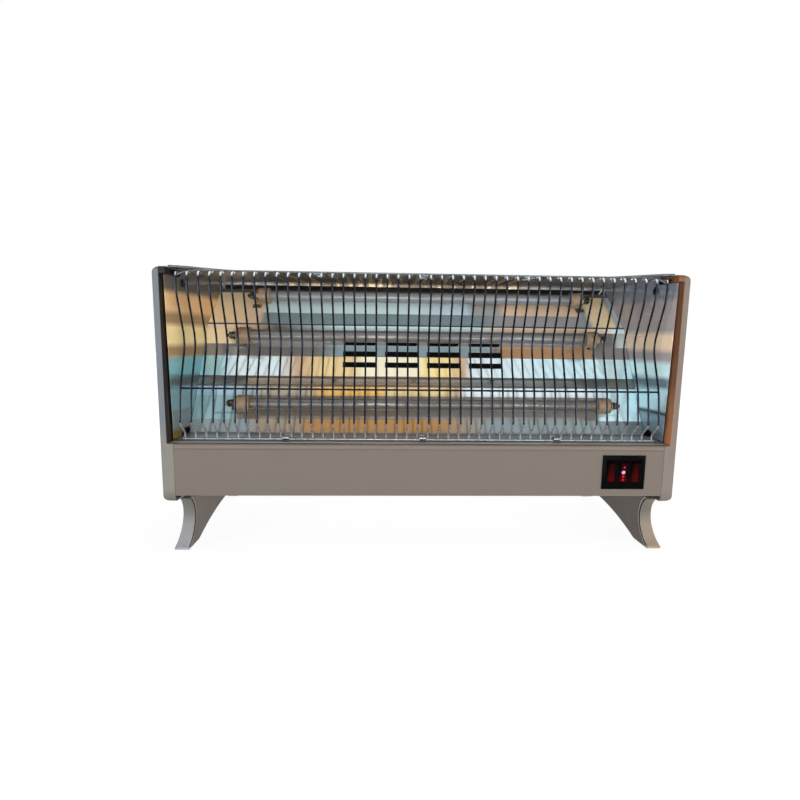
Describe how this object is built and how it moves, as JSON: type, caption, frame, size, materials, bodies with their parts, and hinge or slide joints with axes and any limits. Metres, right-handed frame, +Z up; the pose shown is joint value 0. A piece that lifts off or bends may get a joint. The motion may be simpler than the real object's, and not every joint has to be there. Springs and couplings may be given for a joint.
{
  "type": "fan heater",
  "caption": "Free-standing fan heater with radiant tubes in a polished trough, a curved wire grille, moulded end caps on leg frames, rocker switches and a fan behind air slots.",
  "frame": {"origin": "on the floor, under the middle of the bounding box", "axes": "+Z up, the grille and the switches look towards -Y, +X to the right seen from the front"},
  "size_m": [0.54, 0.199, 0.2915],
  "materials": {
    "cap": "satin",
    "panel": "satin",
    "zinc": "satin",
    "mirror": "polished",
    "chrome": "polished",
    "tube": "frosted",
    "ceramic": "matt glaze",
    "terminal": "oxidised",
    "core": "matt",
    "switch": "gloss",
    "rocker": "gloss",
    "brass": "plain",
    "fan": "satin",
    "motor": "satin",
    "block": "satin",
    "rubber": "matt"
  },
  "bodies": {
    "heater": {"end_cap_left": "cap", "end_cap_right": "cap", "front_panel": "panel", "base_tray": "zinc", "rear_cover": "panel", "reflector_back": "mirror", "reflector_top": "mirror", "reflector_side_left": "mirror", "reflector_side_right": "mirror", "front_grille": "chrome", "grille_rails": "chrome", "grille_clips": "chrome", "grille_screws": "chrome", "reflector_screws": "chrome", "heating_tube_top": "tube", "heating_tube_middle": "tube", "heating_tube_bottom": "tube", "resistance_cores": "core", "ceramic_ends": "ceramic", "tube_terminals": "terminal", "tube_brackets": "terminal", "switch_bezel": "switch", "switch_body": "switch", "switch_tabs": "brass", "fan_plate": "zinc", "fan_shroud": "fan", "motor_strap": "zinc", "fan_motor": "motor", "thermal_cutout": "switch", "terminal_block": "block", "cord_gland": "rubber", "leg_left": "cap", "leg_right": "cap", "leg_screws": "chrome", "case_screws": "chrome"},
    "rocker_left": {"rocker_left": "rocker"},
    "rocker_centre": {"rocker_centre": "rocker"},
    "rocker_right": {"rocker_right": "rocker"},
    "fan": {"fan_shaft": "chrome", "fan_impeller": "fan"}
  },
  "joints": [
    {"name": "rocker_left_tilt", "type": "hinge", "parent": "heater", "child": "rocker_left", "pos_m": [0.2009, -0.0915, 0.0837], "axis": [-1, 0, 0], "range_deg": [0, 14]},
    {"name": "rocker_centre_tilt", "type": "hinge", "parent": "heater", "child": "rocker_centre", "pos_m": [0.2138, -0.0915, 0.0837], "axis": [-1, 0, 0], "range_deg": [0, 14]},
    {"name": "rocker_right_tilt", "type": "hinge", "parent": "heater", "child": "rocker_right", "pos_m": [0.2267, -0.0915, 0.0837], "axis": [-1, 0, 0], "range_deg": [0, 14]},
    {"name": "fan_spin", "type": "hinge", "parent": "heater", "child": "fan", "pos_m": [0.0035, 0.05, 0.203], "axis": [0, 1, 0], "continuous": true}
  ]
}
